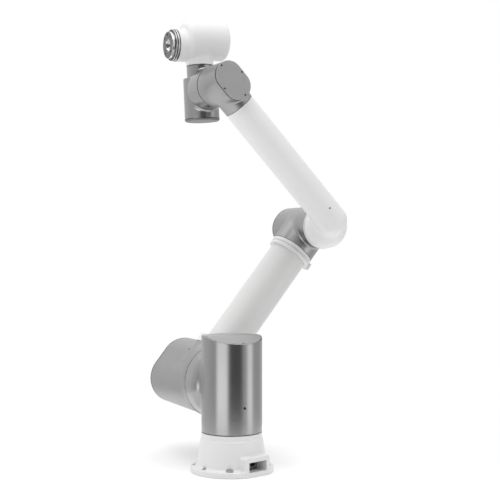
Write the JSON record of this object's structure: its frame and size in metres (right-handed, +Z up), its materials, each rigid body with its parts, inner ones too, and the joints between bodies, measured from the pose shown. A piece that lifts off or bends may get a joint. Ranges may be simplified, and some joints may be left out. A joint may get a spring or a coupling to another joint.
{
  "type": "collaborative robot arm",
  "caption": "Collaborative robot arm on a round bolt-down base: grey joint housings, a lighter upper arm tube, a white forearm and wrist head, and a round tool flange.",
  "frame": {"origin": "centre of the base's bottom face, on the first joint's axis", "axes": "+Z up along the first joint's axis; +X is the direction the upper arm leans at rest; +Y runs along the second, third and fourth joints' axes, from the shoulder housing towards the upper arm"},
  "size_m": [0.4435, 0.4216, 1.0497],
  "materials": {
    "grey_metal": "satin anodised, fine turned grain",
    "white_paint": "cast aluminium under a smooth satin powder coat",
    "tube_paint": "drawn aluminium tube under a satin powder coat",
    "flange_chrome": "polished",
    "flange_steel": "turned, darkened",
    "screw_steel": "black oxide",
    "seal_rubber": "matt",
    "gear_steel": "ground",
    "motor_steel": "laminated steel with copper windings",
    "board_green": "solder mask",
    "panel_grey": "bead blasted",
    "socket_black": "moulded"
  },
  "bodies": {
    "base": {"base_casting": "white_paint", "base_connector_panel": "panel_grey", "base_connector_socket": "socket_black", "base_signal_socket": "socket_black"},
    "shoulder": {"shoulder_housing": "grey_metal", "shoulder_lid": "grey_metal", "shoulder_lid_screws": "screw_steel", "shoulder_earth_screw": "screw_steel", "joint_1_seal": "seal_rubber", "joint_1_gear": "gear_steel", "joint_1_motor": "motor_steel", "joint_1_board": "board_green"},
    "upper_arm": {"joint_2_housing": "grey_metal", "joint_2_lid": "grey_metal", "joint_2_lid_screws": "screw_steel", "joint_2_plug_screw": "screw_steel", "upper_arm_lower_collar": "white_paint", "upper_arm_tube": "tube_paint", "upper_arm_clamp_ring": "white_paint", "joint_3_housing": "grey_metal", "joint_3_lid": "grey_metal", "joint_3_lid_screws": "screw_steel", "joint_2_seal": "seal_rubber", "joint_2_gear": "gear_steel", "joint_2_motor": "motor_steel", "joint_2_board": "board_green", "joint_3_seal": "seal_rubber", "joint_3_gear": "gear_steel", "joint_3_motor": "motor_steel", "joint_3_board": "board_green"},
    "forearm": {"forearm_shell": "white_paint", "forearm_elbow_rim": "white_paint", "forearm_plug_screw": "screw_steel", "wrist_1_housing": "grey_metal", "wrist_1_lid": "grey_metal", "wrist_1_lid_screws": "screw_steel", "joint_4_seal": "seal_rubber", "joint_4_gear": "gear_steel", "joint_4_motor": "motor_steel", "joint_4_board": "board_green"},
    "wrist_2": {"wrist_2_housing": "grey_metal", "wrist_2_lid": "grey_metal", "wrist_2_lid_screws": "screw_steel", "joint_5_seal": "seal_rubber", "joint_5_gear": "gear_steel", "joint_5_motor": "motor_steel", "joint_5_board": "board_green"},
    "wrist_3": {"wrist_3_housing": "white_paint", "joint_6_seal": "seal_rubber", "joint_6_gear": "gear_steel", "joint_6_motor": "motor_steel", "joint_6_board": "board_green"},
    "tool_flange": {"tool_flange_ring": "flange_chrome", "tool_flange_disc": "flange_steel"}
  },
  "joints": [
    {"name": "joint_1", "type": "hinge", "parent": "base", "child": "shoulder", "pos_m": [0, 0, 0.089], "axis": [0, 0, 1], "range_deg": [-175, 175]},
    {"name": "joint_2", "type": "hinge", "parent": "shoulder", "child": "upper_arm", "pos_m": [0, 0.073, 0.195], "axis": [0, 1, 0], "range_deg": [-140, 65]},
    {"name": "joint_3", "type": "hinge", "parent": "upper_arm", "child": "forearm", "pos_m": [0.28798, 0.093, 0.55703], "axis": [0, -1, 0], "range_deg": [-231, 68]},
    {"name": "joint_4", "type": "hinge", "parent": "forearm", "child": "wrist_2", "pos_m": [-0.01481, 0.0546, 0.87835], "axis": [0, 1, 0], "range_deg": [-160, 160]},
    {"name": "joint_5", "type": "hinge", "parent": "wrist_2", "child": "wrist_3", "pos_m": [-0.01766, 0.145, 0.93878], "axis": [-0.0471, 0, 0.9989], "range_deg": [-175, 175]},
    {"name": "joint_6", "type": "hinge", "parent": "wrist_3", "child": "tool_flange", "pos_m": [-0.08134, 0.145, 0.98353], "axis": [-0.9989, 0, -0.0471], "range_deg": [-175, 175]}
  ]
}
